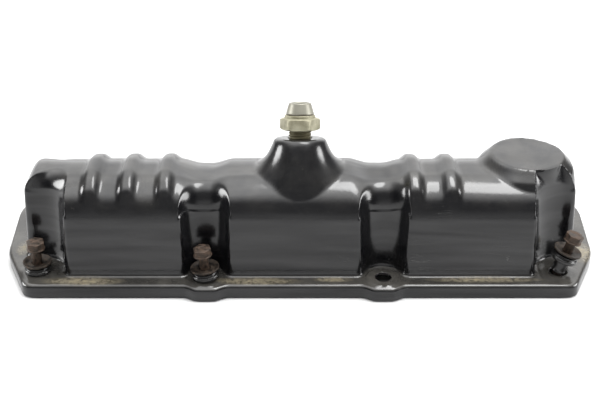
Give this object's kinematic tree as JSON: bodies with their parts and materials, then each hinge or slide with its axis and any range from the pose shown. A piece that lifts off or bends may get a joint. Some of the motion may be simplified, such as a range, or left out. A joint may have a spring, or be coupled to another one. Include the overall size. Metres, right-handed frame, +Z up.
{
  "type": "rocker cover",
  "caption": "Pressed-steel rocker cover of an engine cylinder head, with three lobes, a breather union, a gasket and captive bolts with washers and rubber grommets.",
  "frame": {"origin": "middle of the face that the cover rests on, which is the underside of its gasket", "axes": "+X along the cover to its right end, -Y to the front with the empty bolt hole, +Z up through the crown"},
  "size_m": [0.3794, 0.112, 0.1053],
  "materials": {
    "black_paint": "gloss black stove enamel with light dust and scratches",
    "gasket_rubber": "matt moulded rubber",
    "bare_steel": "oily bare steel",
    "zinc_plate": "dull yellow-passivated zinc plate",
    "pale_brass": "pale machined metal with oil stain",
    "rusty_steel": "rust-stained steel",
    "black_rubber": "glossy oily rubber"
  },
  "bodies": {
    "cover": {"cover_shell": "black_paint", "gasket": "gasket_rubber", "oil_baffle": "bare_steel", "weld_bush": "bare_steel", "cup_washer_front_left": "rusty_steel", "grommet_front_left": "black_rubber", "sleeve_front_left": "bare_steel", "cup_washer_front_mid_left": "rusty_steel", "grommet_front_mid_left": "black_rubber", "sleeve_front_mid_left": "bare_steel", "cup_washer_front_right": "rusty_steel", "grommet_front_right": "black_rubber", "sleeve_front_right": "bare_steel", "cup_washer_back_left": "rusty_steel", "grommet_back_left": "black_rubber", "sleeve_back_left": "bare_steel", "cup_washer_back_mid_left": "rusty_steel", "grommet_back_mid_left": "black_rubber", "sleeve_back_mid_left": "bare_steel", "cup_washer_back_mid_right": "rusty_steel", "grommet_back_mid_right": "black_rubber", "sleeve_back_mid_right": "bare_steel", "cup_washer_back_right": "rusty_steel", "grommet_back_right": "black_rubber", "sleeve_back_right": "bare_steel"},
    "union": {"union_body": "zinc_plate", "union_nose": "pale_brass"},
    "bolt_front_left": {"bolt_front_left": "rusty_steel"},
    "bolt_front_mid_left": {"bolt_front_mid_left": "rusty_steel"},
    "bolt_front_right": {"bolt_front_right": "rusty_steel"},
    "bolt_back_left": {"bolt_back_left": "rusty_steel"},
    "bolt_back_mid_left": {"bolt_back_mid_left": "rusty_steel"},
    "bolt_back_mid_right": {"bolt_back_mid_right": "rusty_steel"},
    "bolt_back_right": {"bolt_back_right": "rusty_steel"}
  },
  "joints": [
    {"name": "union_spin", "type": "hinge", "parent": "cover", "child": "union", "pos_m": [0, 0.00052, 0.083], "axis": [0, 0.309, 0.9511], "continuous": true},
    {"name": "bolt_slide_front_left", "type": "slide", "parent": "cover", "child": "bolt_front_left", "axis": [0.0175, 0, 0.9998], "range_m": [-0.0088, 0.007]},
    {"name": "bolt_slide_front_mid_left", "type": "slide", "parent": "cover", "child": "bolt_front_mid_left", "axis": [-0.0872, 0, 0.9962], "range_m": [-0.008, 0.007]},
    {"name": "bolt_slide_front_right", "type": "slide", "parent": "cover", "child": "bolt_front_right", "axis": [0.2924, 0, 0.9563], "range_m": [-0.0062, 0.007]},
    {"name": "bolt_slide_back_left", "type": "slide", "parent": "cover", "child": "bolt_back_left", "axis": [0, 0, 1], "range_m": [-0.0088, 0.007]},
    {"name": "bolt_slide_back_mid_left", "type": "slide", "parent": "cover", "child": "bolt_back_mid_left", "axis": [0, 0, 1], "range_m": [-0.0088, 0.007]},
    {"name": "bolt_slide_back_mid_right", "type": "slide", "parent": "cover", "child": "bolt_back_mid_right", "axis": [0, 0, 1], "range_m": [-0.0088, 0.007]},
    {"name": "bolt_slide_back_right", "type": "slide", "parent": "cover", "child": "bolt_back_right", "axis": [0, 0, 1], "range_m": [-0.0088, 0.007]}
  ]
}
